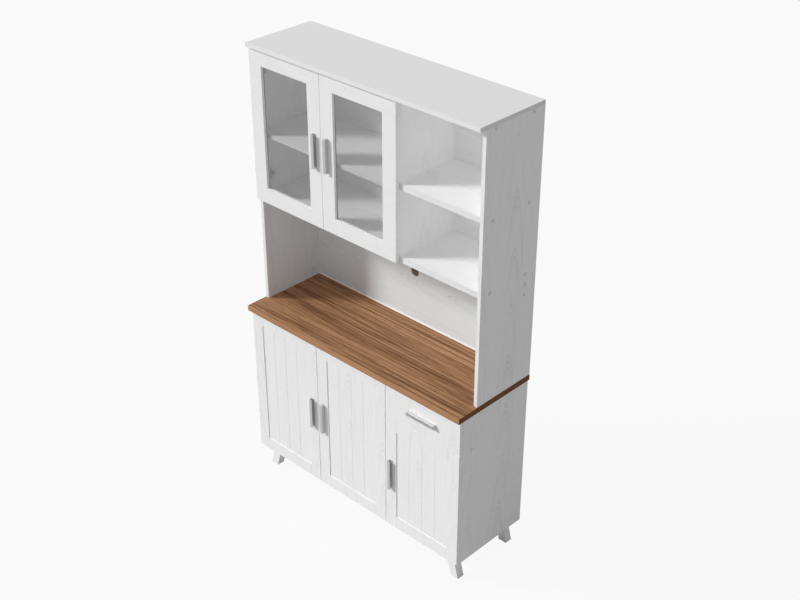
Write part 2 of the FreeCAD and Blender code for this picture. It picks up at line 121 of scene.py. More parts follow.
def feed(wire, shader, socket):
    """Leads a wire into a socket of its material's shader."""
    wire.tree.links.new(wire.socket, shader.inputs[socket])


def lay_finish(material, *names):
    """Puts a finish on CAD nodes by name."""
    for name in names:
        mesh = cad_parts[name].data
        mesh.materials.clear()
        mesh.materials.append(material)


OBJECT_PLACE = "Object"
FACE_NORMAL = "Normal"


def coordinates(start, source):
    """The place of a point on the object, or which way its face looks."""
    return start.node("ShaderNodeTexCoord", {}, {}, output=source)


def component(vector, axis):
    return vector.node("ShaderNodeSeparateXYZ", {}, {"Vector": vector}, output=axis)


def along_grain(start, grain, shift=(0.0, 0.0, 0.0), source=OBJECT_PLACE):
    """Board coordinates in metres: Y runs along the grain, X and Z across it."""
    turn = {"x": (0, 0, math.pi / 2), "y": (0, 0, 0), "z": (math.pi / 2, 0, 0)}[grain]
    return start.node("ShaderNodeMapping", {"vector_type": "POINT"}, {
        "Vector": coordinates(start, source), "Rotation": turn, "Location": shift})


def stretched(board, factors):
    return board.node("ShaderNodeVectorMath", {"operation": "MULTIPLY"}, {0: board, 1: factors})


def noise(board, factors, detail=2.0, roughness=0.5, distortion=0.0):
    """Soft noise on the board, with this many waves a metre in each direction."""
    return board.node("ShaderNodeTexNoise", {}, {
        "Vector": stretched(board, factors), "Scale": 1.0, "Detail": detail,
        "Roughness": roughness, "Distortion": distortion})


def eased_step(value, low, high):
    """0 below low, 1 above high and smooth between them."""
    return value.node("ShaderNodeMapRange", {"interpolation_type": "SMOOTHSTEP"},
                      {"Value": value, "From Min": low, "From Max": high})


def blended(factor, first, second):
    return factor.node("ShaderNodeMix", {"data_type": "RGBA"},
                       {"Factor": factor, "A": (*first, 1.0), "B": (*second, 1.0)})


def raised(height, strength, depth):
    """A surface normal bumped by a height between 0 and 1, depth in metres."""
    return height.node("ShaderNodeBump", {}, {
        "Height": height, "Strength": strength, "Distance": depth})


# The print's white, how much darker its grain is, and the measures of its flame figures
WHITE = 0.968
GRAIN_DEPTH = 0.20
LOG_SPACING = 0.176
FLAME_BEND = 75.0
FLAME_SPIRE = 2.2
FLAME_LINE = 0.032
FLAME_GROUP = 0.215


def flame_figure(start, grain, board, heart):
    """Nested arches as of a log's rings on a sawn face, in groups one above the other.

    heart is the log's middle in board X and Z. The arches are pointed like spires there, and
    fade beside it.
    """
    place, facing = (along_grain(start, grain, source=s) for s in (OBJECT_PLACE, FACE_NORMAL))
    sway = noise(board, (0.0, 1.9, 0.0), detail=1.0) * 0.05 - 0.025
    reach = 0.0
    for axis, middle in zip(("X", "Z"), heart):
        beside = start.math("PINGPONG", sway + component(place, axis) - middle, LOG_SPACING / 2)
        reach = reach + beside * beside * (1.0 - abs(component(facing, axis)))
    warp = (noise(board, (6.0, 2.0, 6.0), detail=3.0) * 0.10
            + noise(board, (70.0, 8.0, 70.0)) * 0.012)
    climb = reach * FLAME_BEND + (reach + 0.00001) ** 0.5 * FLAME_SPIRE + warp
    climb = climb - component(place, "Y")
    line = (start.math("FRACT", climb * (1.0 / FLAME_LINE)) - 0.5) * 2.0
    line = eased_step(abs(line), 0.50, 0.98)
    group = start.math("FRACT", climb * (1.0 / FLAME_GROUP))
    group = eased_step(group, 0.0, 0.45) * (1.0 - eased_step(group, 0.62, 0.70))
    return line * group, 1.0 - eased_step(reach, 0.0004, 0.0036)


def face_turn(start, axis):
    """How far a face is turned along an axis, from -1 to 1."""
    return component(coordinates(start, FACE_NORMAL), axis)


def faces_turned(turn):
    """1 on the faces whose turn is near 1, 0 on the others."""
    return eased_step(turn, 0.6, 0.8)


def end_faces(start):
    """1 on the faces that close a board at its left and right end, 0 on the others."""
    return faces_turned(abs(face_turn(start, "X")))


def front_faces(start):
    """1 on the faces turned to the front."""
    return faces_turned(0.0 - face_turn(start, "Y"))


def rear_faces(start):
    """1 on the faces turned to the rear."""
    return faces_turned(face_turn(start, "Y"))


def paint_bay_shade(start, colour, top, tint, reach):
    """Painted shade: darkens and cools below a height and within reach, but no rear face."""
    place = coordinates(start, OBJECT_PLACE)
    below = 1.0 - eased_step(component(place, "Z"), top, top + 0.01)
    within = 1.0 - eased_step(abs(component(place, "X")), reach, reach + 0.001)
    return start.node("ShaderNodeMix", {"data_type": "RGBA", "blend_type": "MULTIPLY"}, {
        "Factor": below * (within * (1.0 - rear_faces(start))),
        "A": colour, "B": (*tint, 1.0)})


def white_wood(name, grain, shift, figure, heart=(0.0, 0.066), white=WHITE, end_shade=0.0,
               front_shade=0.0, bay_shade=None):
    """White foil printed and embossed as painted pine, with flame figures and fine pores.

    figure is the print's strength, heart is where flame_figure centres it, and bay_shade is
    the height, tint and reach of the painted shade that paint_bay_shade lays on the bay.
    """
    material, shader, start = new_finish(name)
    board = along_grain(start, grain, shift)
    flames, nearness = flame_figure(start, grain, board, heart)
    fibre = noise(board, (520.0, 10.0, 520.0), detail=3.0, roughness=0.6)
    band = noise(board, (46.0, 1.8, 46.0), detail=3.0, roughness=0.55)
    pores = eased_step(noise(board, (700.0, 26.0, 700.0), detail=1.0), 0.60, 0.70)
    patch = eased_step(noise(board, (6.0, 2.2, 6.0), detail=1.0), 0.40, 0.62)
    flames = flames * (patch * 0.30 + 0.24) * nearness
    grain_mask = flames + eased_step(fibre, 0.45, 0.78) * 0.20
    grain_mask = (grain_mask + eased_step(band, 0.52, 0.80) * 0.16 + pores * 0.20) * figure
    if end_shade:
        grain_mask = grain_mask + end_faces(start) * end_shade
    if front_shade:
        grain_mask = grain_mask + front_faces(start) * front_shade
    colour = blended(grain_mask, (white,) * 3, (white * (1.0 - GRAIN_DEPTH),) * 3)
    # Painted shade on the bay below the hutch floor
    if bay_shade:
        colour = paint_bay_shade(start, colour, *bay_shade)
    feed(colour, shader, "Base Color")
    feed(grain_mask * 0.22 + 0.46, shader, "Roughness")
    feed(raised(1.0 - grain_mask, 0.2, 0.0003), shader, "Normal")
    shader.inputs["Specular IOR Level"].default_value = 0.35
    return material


upright_white = white_wood("white_wood_upright", "z", (0.0, 0.0, 0.0), 1.8, white=0.978)
lengthwise_white = white_wood("white_wood_lengthwise", "x", (0.31, 0.17, 0.05), 1.6,
                              heart=(-0.04, 0.02), white=0.985, front_shade=0.35)
inner_white = white_wood("white_wood_partitions", "z", (0.6, 0.3, 0.9), 1.7,
                         heart=(0.184, 0.03), white=0.988)

lay_finish(upright_white, "base_side_left", "base_side_right", "base_back")
lay_finish(inner_white, "base_partition")
lay_finish(lengthwise_white, "base_floor", "base_top_rails", "drawer_rail",
           "wide_shelf", "small_shelf")


def plastic(name, colour):
    """Moulded plastic with a fine, even grain."""
    material, shader, start = new_finish(name)
    board = along_grain(start, "z")
    grain = noise(board, (1500.0, 1500.0, 1500.0), detail=1.0)
    darker = tuple(part * 0.94 for part in colour)
    feed(blended(grain, darker, colour), shader, "Base Color")
    feed(grain * 0.1 + 0.42, shader, "Roughness")
    feed(raised(grain, 0.1, 0.0001), shader, "Normal")
    return material


def plated_steel():
    material, shader, start = new_finish("zinc_plated_steel")
    board = along_grain(start, "z")
    rolled = noise(board, (900.0, 60.0, 900.0), detail=2.0)
    cloud = noise(board, (90.0, 90.0, 90.0), detail=2.0)
    feed(blended(cloud, (0.66, 0.67, 0.68), (0.79, 0.80, 0.81)), shader, "Base Color")
    feed(rolled * 0.18 + 0.32, shader, "Roughness")
    feed(raised(rolled, 0.15, 0.0001), shader, "Normal")
    shader.inputs["Metallic"].default_value = 1.0
    return material


white_plastic = plastic("white_plastic", (0.80, 0.80, 0.80))
# Cover caps a little greyer than the white plastic: partly their own grey, partly painted shade of
# the hollow they sit in
cap_shade_plastic = plastic("cap_shade_plastic", (0.76, 0.76, 0.76))
zinc = plated_steel()


def outward(point, direction):
    """A placing whose Z leads out of a board, along direction."""
    turn = Vector(direction).to_track_quat("Z", "Y").to_matrix().to_4x4()
    return Matrix.Translation(Vector(point)) @ turn


def turned(shape, place, profile, sides=24):
    """Turns pairs of radius and height about a placing's Z. Returns the last ring."""
    rings = []
    for radius, height in profile:
        angles = [2 * math.pi * n / sides for n in range(sides if radius else 1)]
        rings.append([shape.verts.new(place @ Vector((radius * math.cos(angle),
                                                      radius * math.sin(angle), height)))
                      for angle in angles])
    for near, far in zip(rings, rings[1:]):
        for n in range(sides):
            corners = (near[n % len(near)], near[(n + 1) % len(near)],
                       far[(n + 1) % len(far)], far[n % len(far)])
            shape.faces.new(list(dict.fromkeys(corners)))
    return rings[-1]


def walls(shape, near, far):
    """Joins two equal closed rings of points."""
    for n in range(len(near)):
        shape.faces.new((near[n - 1], near[n], far[n], far[n - 1]))


def scaled(profile, radius, height):
    """A profile given in shares of a radius and a height."""
    return [(out * radius, up * height) for out, up in profile]


HEAD_PROFILE = ((0.0, 0.0), (1.0, 0.0), (1.0, 0.35), (0.88, 0.8), (0.62, 1.0))
# The recess: how far its arms reach, half their width and where its floor is
CROSS_ARM = 0.46
CROSS_HALF = 0.11
CROSS_FLOOR = 0.4


def cross_head(shape, point, direction, head):
    """A low pan head with a cross recess sunk in it. head is its radius and height."""
    radius, height = head
    place = outward(point, direction)
    rim = turned(shape, place, scaled(HEAD_PROFILE, radius, height))
    arm, half = CROSS_ARM * radius, CROSS_HALF * radius
    quarter = [(arm, -half), (arm, half), (half, half)]
    turns = ((1, 0), (0, 1), (-1, 0), (0, -1))
    cross = [(x * c - y * s, x * s + y * c) for c, s in turns for x, y in quarter]
    brim, pit = ([shape.verts.new(place @ Vector((x, y, level))) for x, y in cross]
                 for level in (height, CROSS_FLOOR * height))
    walls(shape, brim, pit)
    shape.faces.new(pit)
    loops = [shape.edges.get((loop[n - 1], loop[n])) for loop in (rim, brim)
             for n in range(len(loop))]
    bmesh.ops.triangle_fill(shape, use_beauty=True, edges=loops)


CAP_RADIUS = 0.0075
CAP_HEIGHT = 0.0009
CAP_PROFILE = ((0.0, 0.0), (1.0, 0.0), (1.0, 0.5), (0.93, 0.9), (0.84, 1.0), (0.74, 0.9),
               (0.6, 0.45), (0.3, 0.25), (0.0, 0.2))


def dished_cap(shape, point, direction):
    """A press-in cover cap with a rounded rim and a shallow dish."""
    turned(shape, outward(point, direction), scaled(CAP_PROFILE, CAP_RADIUS, CAP_HEIGHT))


SMOOTH_BELOW = math.radians(35.0)


def fitted(name, shape, material, body="cabinet"):
    """Makes a piece of a finished shape and lets it ride on a body."""
    bmesh.ops.recalc_face_normals(shape, faces=shape.faces)
    for face in shape.faces:
        face.smooth = True
    mesh = bpy.data.meshes.new(name)
    shape.to_mesh(mesh)
    shape.free()
    mesh.set_sharp_from_angle(angle=SMOOTH_BELOW)
    mesh.materials.append(material)
    piece = bpy.data.objects.new(name, mesh)
    bpy.context.scene.collection.objects.link(piece)
    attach(piece, body)
    return piece


def halfway(low, high):
    return (low + high) / 2


# Heads are pairs of radius and height. Setbacks run inwards from an edge or a face.
CAM_HEAD = (0.0075, 0.0005)
CAM_SETBACK = 0.034
CAM_REAR_SETBACK = 0.05
BASE_CAP_SETBACK = 0.047

floor_low, floor_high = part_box("base_floor")
rail_low, rail_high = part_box("drawer_rail")
base_cams = bmesh.new()
for x in (floor_low.x + CAM_SETBACK, floor_high.x - CAM_SETBACK):
    for y in (floor_low.y + CAM_SETBACK, floor_high.y - CAM_REAR_SETBACK):
        cross_head(base_cams, (x, y, floor_high.z), (0, 0, 1), CAM_HEAD)
fitted("base_cam_locks", base_cams, zinc)

base_cap = bmesh.new()
dished_cap(base_cap, (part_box("base_side_right")[1].x, rail_low.y + BASE_CAP_SETBACK,
                      halfway(rail_low.z, rail_high.z)), (1, 0, 0))
fitted("base_side_cap", base_cap, cap_shade_plastic)

# Splayed feet. Four white wooden feet that taper and lean outwards. A bolt through the
# base's floor holds each of them at the middle of its top.

FEET = ("foot_front_left", "foot_rear_left", "foot_front_right", "foot_rear_right")
FOOT_TOP_HALF = 0.0207
FOOT_BOLT_HEAD = (0.0065, 0.003)
lay_finish(upright_white, *FEET)

foot_bolts = bmesh.new()
for foot in FEET:
    low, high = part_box(foot)
    x = low.x + FOOT_TOP_HALF if low.x > 0 else high.x - FOOT_TOP_HALF
    cross_head(foot_bolts, (x, halfway(low.y, high.y), floor_high.z), (0, 0, 1), FOOT_BOLT_HEAD)
fitted("foot_bolts", foot_bolts, zinc)

# Worktop. One 23 mm board in walnut print, with brown and tan streaks that run its whole
# length, a lighter front edge and dark ends. It is screwed on from below.

WALNUT_DARK = (0.140, 0.055, 0.022)
WALNUT_MID = (0.325, 0.157, 0.072)
WALNUT_LIGHT = (0.540, 0.292, 0.150)
WALNUT_EDGE = (0.560, 0.300, 0.157)


def walnut():
    material, shader, start = new_finish("walnut_top")
    board = along_grain(start, "x", (0.29, 0.83, 0.0))
    sway = noise(board, (3.0, 1.1, 3.0), detail=1.0)
    broad = noise(board, (15.0, 0.5, 15.0), detail=2.0, roughness=0.5, distortion=0.15)
    streak = noise(board, (62.0, 1.5, 62.0), detail=2.0, roughness=0.55, distortion=0.2)
    strand = noise(board, (150.0, 2.6, 150.0), detail=2.0, roughness=0.6, distortion=0.1)
    fibre = noise(board, (420.0, 9.0, 420.0), detail=2.0, roughness=0.65)
    pores = eased_step(noise(board, (520.0, 24.0, 520.0), detail=1.0), 0.60, 0.70)
    dashes = eased_step(noise(board, (170.0, 14.0, 170.0), detail=1.0), 0.66, 0.74)
    tone = broad * 0.26 + streak * 0.40 + strand * 0.62 + fibre * 0.36 + sway * 0.08 - 0.347
    colour = tone.node("ShaderNodeValToRGB", {"stops": (
        (0.35, WALNUT_DARK), (0.48, WALNUT_MID), (0.62, WALNUT_LIGHT))}, {"Fac": tone})
    ends = end_faces(start)
    front = front_faces(start)
    for mask, other in ((pores * 0.35, WALNUT_DARK), (dashes * 0.5, WALNUT_DARK),
                        (front * 0.6, WALNUT_EDGE), (ends * 0.9, WALNUT_DARK)):
        colour = start.node("ShaderNodeMix", {"data_type": "RGBA"}, {
            "Factor": mask, "A": colour, "B": (*other, 1.0)})
    feed(colour, shader, "Base Color")
    feed(0.64 - tone * 0.16 + pores * 0.12, shader, "Roughness")
    feed(raised(fibre * 0.6 + tone * 0.4 - pores * 0.5, 0.25, 0.0003), shader, "Normal")
    shader.inputs["Specular IOR Level"].default_value = 0.2
    return material


walnut_top = walnut()
lay_finish(walnut_top, "worktop")

WORKTOP_SCREW_HEAD = (0.0045, 0.0018)
WORKTOP_SCREW_SPACING = 0.42
WORKTOP_SCREW_SETBACK = 0.04
top_rail_low, top_rail_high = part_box("base_top_rails")
worktop_screws = bmesh.new()
for x in (-WORKTOP_SCREW_SPACING, 0.0, WORKTOP_SCREW_SPACING):
    for y in (top_rail_low.y + WORKTOP_SCREW_SETBACK, top_rail_high.y - WORKTOP_SCREW_SETBACK):
        cross_head(worktop_screws, (x, y, top_rail_low.z), (0, 0, -1), WORKTOP_SCREW_HEAD)
fitted("worktop_screws", worktop_screws, zinc)

# Hutch. Two sides, a ceiling under a wider cap, a floor, a partition and shelves, in the
# same faced chipboard, with a thin back panel in a groove and a rail behind the bay.

# Painted shade: the open bay below the hutch floor is painted a little darker and cooler, for
# its shade and the worktop's warm bounce. On the sides that holds for their inner faces.
BAY_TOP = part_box("hutch_floor")[0].z
TINT_MARGIN = 0.0005
BAY_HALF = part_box("hutch_side_right")[0].x + TINT_MARGIN
BAY_WHOLE = 1.0
SIDE_BAY_SHADE = (0.84, 0.88, 0.91)
BACK_BAY_SHADE = (0.87, 0.93, 0.96)
side_white = white_wood("white_wood_hutch_sides", "z", (0.0, 0.0, 0.0), 1.8, white=0.978,
                        bay_shade=(BAY_TOP, SIDE_BAY_SHADE, BAY_HALF))
lay_finish(side_white, "hutch_side_left", "hutch_side_right")
lay_finish(inner_white, "hutch_partition")
lay_finish(lengthwise_white, "hutch_ceiling", "hutch_floor", "cubby_shelf",
           "cupboard_shelf", "hutch_back_rail")
back_white = white_wood("white_wood_back", "x", (0.11, 0.7, 0.45), 1.7, heart=(-0.192, 0.95),
                        white=0.98, bay_shade=(BAY_TOP, BACK_BAY_SHADE, BAY_WHOLE))
lay_finish(back_white, "hutch_back")
plain_white = white_wood("white_wood_plain", "x", (0.7, 0.2, 0.3), 0.2, white=0.93,
                         end_shade=0.62)
lay_finish(plain_white, "hutch_cap")

hutch_low, hutch_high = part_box("hutch_side_right")
shelf_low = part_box("hutch_floor")[0]
cubby_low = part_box("cubby_shelf")[0]
ceiling_low, ceiling_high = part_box("hutch_ceiling")
back_rail_low, back_rail_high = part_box("hutch_back_rail")
# Outer caps: their setbacks, and how far they stand above or below an edge of their board
FRONT_SETBACK = 0.0445
REAR_SETBACK = 0.057
FLOOR_FRONT_RISE = 0.0045
FLOOR_REAR_RISE = 0.0030
CUBBY_DROP = 0.0045
RAIL_TOP_DROP = 0.0375
RAIL_FOOT_RISE = 0.0215
# Caps inside the bay, above the worktop
BAY_CAP_RISE = 0.033
BAY_FRONT_SETBACK = 0.0375
BAY_REAR_SETBACK = 0.0465
HUTCH_CAM_SETBACK = 0.06
near, far = hutch_low.y + FRONT_SETBACK, hutch_high.y - REAR_SETBACK
ceiling_middle = halfway(ceiling_low.z, ceiling_high.z)
cap_places = [(near, ceiling_middle), (far, ceiling_middle),
              (near, shelf_low.z + FLOOR_FRONT_RISE), (far, shelf_low.z + FLOOR_REAR_RISE),
              (far, back_rail_high.z - RAIL_TOP_DROP), (far, back_rail_low.z + RAIL_FOOT_RISE)]
cubby_places = [(y, cubby_low.z - CUBBY_DROP) for y in (near, far)]
hutch_caps = bmesh.new()
hutch_cams = bmesh.new()
for side, places in ((-1, cap_places), (1, cap_places + cubby_places)):
    for y, z in places:
        dished_cap(hutch_caps, (side * hutch_high.x, y, z), (side, 0, 0))
    for y in (hutch_low.y + BAY_FRONT_SETBACK, hutch_high.y - BAY_REAR_SETBACK):
        dished_cap(hutch_caps, (side * hutch_low.x, y, hutch_low.z + BAY_CAP_RISE),
                   (-side, 0, 0))
    for level in (shelf_low.z, ceiling_low.z):
        for y in (hutch_low.y + HUTCH_CAM_SETBACK, hutch_high.y - CAM_REAR_SETBACK):
            cross_head(hutch_cams, (side * (hutch_low.x - CAM_SETBACK), y, level),
                       (0, 0, -1), CAM_HEAD)
fitted("hutch_side_caps", hutch_caps, cap_shade_plastic)
fitted("hutch_cam_locks", hutch_cams, zinc)


def arc(middle, radius, first, last, steps=3):
    """Points on an arc between two angles in degrees."""
    turns = [math.radians(first + (last - first) * n / steps) for n in range(steps + 1)]
    return [(middle[0] + radius * math.cos(a), middle[1] + radius * math.sin(a)) for a in turns]


def bar(ends):
    """A solid bar between two equal outlines."""
    shape = bmesh.new()
    near, far = ([shape.verts.new(point) for point in end] for end in ends)
    walls(shape, near, far)
    shape.faces.new(near)
    shape.faces.new(far)
    return shape


# A white quarter-round bead closes the joint between the back panel and the worktop
BEAD_RADIUS = 0.0042
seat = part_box("hutch_back")[0].y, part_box("worktop")[1].z
bead_outline = [seat] + arc(seat, BEAD_RADIUS, 180, 90, steps=6)
bead = bar([[(x, y, z) for y, z in bead_outline] for x in (-hutch_low.x, hutch_low.x)])
bead_plastic = plastic("bead_plastic", (0.95, 0.95, 0.95))
fitted("hutch_back_bead", bead, bead_plastic)

# Cable flap. A soft plastic bush behind the hole in the hutch's back: a flat ring on the rear
# face, and eight petals that part for a plug and its cable. Its dark colour is painted shade,
# standing for the shade seen through the hole.

HOLE_MIDDLE = Vector((-0.005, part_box("hutch_back")[1].y, 0.988))
HOLE_RADIUS = 0.020
RING_RADIUS = 0.026
RING_THICKNESS = 0.0016
# How far the ring stands off the back, and how much its outer edge is bevelled, in and down
RING_STANDOFF = 0.0001
RING_BEVEL_IN = 0.0006
RING_BEVEL_DOWN = 0.0004
RING_SIDES = 48
MERGE_DISTANCE = 0.00001
PETALS = 8
PETAL_STEPS = 5
PETAL_SLIT = 0.006
# From a petal's root to its tip: radius, height of its near face and of its far face
PETAL_ROWS = ((HOLE_RADIUS + 0.001, 0.0002, 0.0014), (0.7 * HOLE_RADIUS, 0.0006, 0.0018),
              (0.35 * HOLE_RADIUS, 0.0012, 0.0022), (0.02 * HOLE_RADIUS, 0.0016, 0.0024))


def petal_sheet(shape, place, angles, rows):
    """One face of a petal, from pairs of radius and height. Returns its closed edge."""
    sheet = [[shape.verts.new(place @ Vector((radius * math.cos(a), radius * math.sin(a), z)))
              for a in angles] for radius, z in rows]
    for outer, inner in zip(sheet, sheet[1:]):
        for n in range(PETAL_STEPS):
            shape.faces.new((outer[n], outer[n + 1], inner[n + 1], inner[n]))
    return ([row[0] for row in sheet] + sheet[-1][1:] + [row[-1] for row in sheet[-2::-1]]
            + sheet[0][-2:0:-1])


def petal(shape, place, first_angle, last_angle):
    """One sector of the flap, thin at its tip and bowed to the rear."""
    sweep = last_angle - first_angle - 2 * PETAL_SLIT
    angles = [first_angle + PETAL_SLIT + sweep * n / PETAL_STEPS for n in range(PETAL_STEPS + 1)]
    near, far = (petal_sheet(shape, place, angles, [(row[0], row[face]) for row in PETAL_ROWS])
                 for face in (1, 2))
    walls(shape, near, far)


# Painted shade: dark, for the shade seen through the hole
hole_shade_plastic = plastic("painted_hole_shade", (0.150, 0.112, 0.092))
flap = bmesh.new()
flap_place = outward(HOLE_MIDDLE, (0, 1, 0))
turned(flap, flap_place, [
    (HOLE_RADIUS, RING_STANDOFF), (RING_RADIUS, RING_STANDOFF),
    (RING_RADIUS, RING_THICKNESS - RING_BEVEL_DOWN), (RING_RADIUS - RING_BEVEL_IN, RING_THICKNESS),
    (HOLE_RADIUS, RING_THICKNESS), (HOLE_RADIUS, RING_STANDOFF)], sides=RING_SIDES)
bmesh.ops.remove_doubles(flap, verts=flap.verts, dist=MERGE_DISTANCE)
for number in range(PETALS):
    petal(flap, flap_place, 2 * math.pi * number / PETALS, 2 * math.pi * (number + 1) / PETALS)
fitted("cable_flap", flap, hole_shade_plastic)

# Shelf pins, runners and hinges, all zinc-plated steel. Each hinge has a cup sunk in its
# door, and an arm on a plate at the wall. Two screws hold each cup, plate and arm.

lay_finish(zinc, "shelf_pins", "hinge_arms", "drawer_runner_left", "drawer_runner_right",
           "drawer_slides")
# The wall that carries each door's hinges, and the side of the door that they are on
HINGE_WALLS = {
    "lower_door_left": ("base_side_left", -1),
    "lower_door_middle": ("base_partition", 1),
    "lower_door_right": ("base_side_right", 1),
    "glass_door_left": ("hutch_side_left", -1),
    "glass_door_right": ("hutch_partition", 1),
}
DOORS = tuple(HINGE_WALLS)
lay_finish(zinc, *(door + "_hinge_cups" for door in DOORS))

FLANGE_HALF = 0.026
PLATE_THICKNESS = 0.003
ARM_TOP = 0.011
# Heads of the screws, and their places up from the hinge's middle and in from the edges
FLANGE_SCREW_HEAD = (0.0030, 0.0013)
PLATE_SCREW_HEAD = (0.0038, 0.0016)
ARM_SCREW_HEAD = (0.0028, 0.0012)
FLANGE_SCREW_RISE = 0.0222
FLANGE_SCREW_SETBACK = 0.0235
PLATE_SCREW_RISE = 0.0160
PLATE_SCREW_SETBACK = 0.036
ARM_SCREW_SETBACKS = (0.030, 0.048)
hinge_screws = bmesh.new()
for door, (wall_name, side) in HINGE_WALLS.items():
    cup_low, cup_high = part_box(door + "_hinge_cups")
    wall_low, wall_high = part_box(wall_name)
    wall = wall_high.x if side < 0 else wall_low.x
    flange_x = (cup_low.x + FLANGE_SCREW_SETBACK if side < 0
                else cup_high.x - FLANGE_SCREW_SETBACK)
    cup_screws = bmesh.new()
    for level in (cup_low.z + FLANGE_HALF, cup_high.z - FLANGE_HALF):
        for up in (-1, 1):
            cross_head(hinge_screws, (wall - side * PLATE_THICKNESS,
                                      wall_low.y + PLATE_SCREW_SETBACK,
                                      level + up * PLATE_SCREW_RISE),
                       (-side, 0, 0), PLATE_SCREW_HEAD)
            cross_head(cup_screws, (flange_x, cup_high.y, level + up * FLANGE_SCREW_RISE),
                       (0, 1, 0), FLANGE_SCREW_HEAD)
        for setback in ARM_SCREW_SETBACKS:
            cross_head(hinge_screws, (wall - side * ARM_TOP, wall_low.y + setback, level),
                       (-side, 0, 0), ARM_SCREW_HEAD)
    fitted(door + "_cup_screws", cup_screws, zinc, door)
fitted("hinge_screws", hinge_screws, zinc)

# Lower doors. Three frame-and-panel doors: grooved stiles and rails, and a beaded panel that
# stands in the grooves. All of them have the same white print, which runs upright.

door_white = white_wood("white_wood_doors", "z", (0.13, 0.42, 0.2), 1.15, heart=(-0.36, -0.19))
for door in ("lower_door_left", "lower_door_middle", "lower_door_right"):
    lay_finish(door_white, door + "_stiles", door + "_panel", door + "_rails")

# Glass doors. One white board each with a window cut out, a clear pane seated from the
# back and a thin plastic strip that holds it.

frame_white = white_wood("white_wood_glass_doors", "x", (0.5, 0.9, 0.6), 0.75,
                         heart=(0.128, 0.03))
lay_finish(frame_white, "glass_door_left_frame", "glass_door_right_frame")


def show(material, surface):
    """Makes a wire the surface of its material."""
    end = material.node_tree.nodes["Material Output"]
    material.node_tree.links.new(surface.socket, end.inputs["Surface"])


def clear_pane():
    """Plain float glass: it lets most light straight through and mirrors at a slant."""
    material, shader, start = new_finish("clear_glass")
    slant = start.node("ShaderNodeFresnel", {}, {"IOR": 1.5})
    inside = start.node("ShaderNodeNewGeometry", {}, {}, output="Backfacing")
    board = along_grain(start, "z")
    ripple = noise(board, (4.0, 4.0, 4.0), detail=1.0)
    through = start.node("ShaderNodeBsdfTransparent", {}, {"Color": (0.905, 0.907, 0.905, 1.0)})
    mirror = start.node("ShaderNodeBsdfAnisotropic", {}, {
        "Color": (0.9, 0.9, 0.9, 1.0), "Roughness": 0.03,
        "Normal": raised(ripple, 0.05, 0.0005)})
    show(material, start.node("ShaderNodeMixShader", {}, {
        0: slant * (1.0 - inside), 1: through, 2: mirror}))
    material.node_tree.nodes.remove(shader)
    return material


glass = clear_pane()
lay_finish(glass, "glass_door_left_pane", "glass_door_right_pane")
lay_finish(white_plastic, "glass_door_left_retainer", "glass_door_right_retainer")

# Handles. Channels folded from 2 mm brushed nickel-plated metal, with a sharp fold and a
# rounded lip, open towards the finger. Two screws through the front hold each one.


def brushed_nickel(name, grain, metal, tone):
    material, shader, start = new_finish(name)
    board = along_grain(start, grain)
    brush = noise(board, (1400.0, 30.0, 1400.0), detail=3.0, roughness=0.6)
    cloud = noise(board, (25.0, 25.0, 25.0), detail=2.0)
    low, high = ((tone * part,) * 3 for part in (0.93, 1.07))
    feed(blended(brush * 0.7 + cloud * 0.3, low, high), shader, "Base Color")
    feed(brush * 0.12 + 0.24, shader, "Roughness")
    feed(raised(brush, 0.08, 0.0001), shader, "Normal")
    shader.inputs["Metallic"].default_value = metal
    return material


# Two copies of one nickel, apart in tone and metalness: painted sheen, for the different glint
# that upright and level handles catch
upright_nickel = brushed_nickel("brushed_nickel_upright", "z", 0.2, 0.65)
level_nickel = brushed_nickel("brushed_nickel_level", "x", 1.0, 0.715)
lay_finish(upright_nickel, *(door + "_handle" for door in DOORS))
lay_finish(level_nickel, "drawer_handle")

HANDLE_WIDTH = 0.0146
HANDLE_WALL = 0.0020
HANDLE_FOLD = 0.0006
HANDLE_LIP = 0.0007
DRAWER_HANDLE_RISE = 0.0008
FORWARD = Vector((0, -1, 0))
# The side of its handle on which each door's web stands
HANDLE_WEBS = {"lower_door_left": -1, "lower_door_middle": 1, "lower_door_right": -1,
               "glass_door_left": -1, "glass_door_right": 1}


def channel_handle(name, material, node, corner, over, run, body):
    """A folded channel whose web's corner meets the front at corner.

    over leads across the channel to its lip, run along it; a handle node gives its reach.
    """
    low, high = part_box(node)
    depth = high.y - low.y
    length = max(high.x - low.x, high.z - low.z)
    lip = HANDLE_WIDTH - HANDLE_LIP
    outline = [(HANDLE_WIDTH, 0.0), (0.0, 0.0)]
    outline += arc((HANDLE_FOLD, depth - HANDLE_FOLD), HANDLE_FOLD, 180, 90)
    outline += arc((lip, depth - HANDLE_LIP), HANDLE_LIP, 90, 0)
    outline += arc((lip, depth - HANDLE_WALL + HANDLE_LIP), HANDLE_LIP, 0, -90)
    outline += [(HANDLE_WALL, depth - HANDLE_WALL), (HANDLE_WALL, HANDLE_WALL),
                (HANDLE_WIDTH, HANDLE_WALL)]
    shape = bar([[corner + run * (side * length / 2) + over * u + FORWARD * v
                  for u, v in outline] for side in (-1, 1)])
    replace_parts(fitted(name, shape, material, body), node)


for door, side in HANDLE_WEBS.items():
    grip_low, grip_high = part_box(door + "_handle")
    web = halfway(grip_low.x, grip_high.x) + side * HANDLE_WIDTH / 2
    channel_handle(door + "_grip", upright_nickel, door + "_handle",
                   Vector((web, grip_high.y, halfway(grip_low.z, grip_high.z))),
                   Vector((-side, 0, 0)), Vector((0, 0, 1)), door)
grip_low, grip_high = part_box("drawer_handle")
channel_handle("drawer_grip", level_nickel, "drawer_handle",
               Vector((halfway(grip_low.x, grip_high.x), grip_high.y,
                       grip_high.z + DRAWER_HANDLE_RISE)),
               Vector((0, 0, -1)), Vector((1, 0, 0)), "drawer")

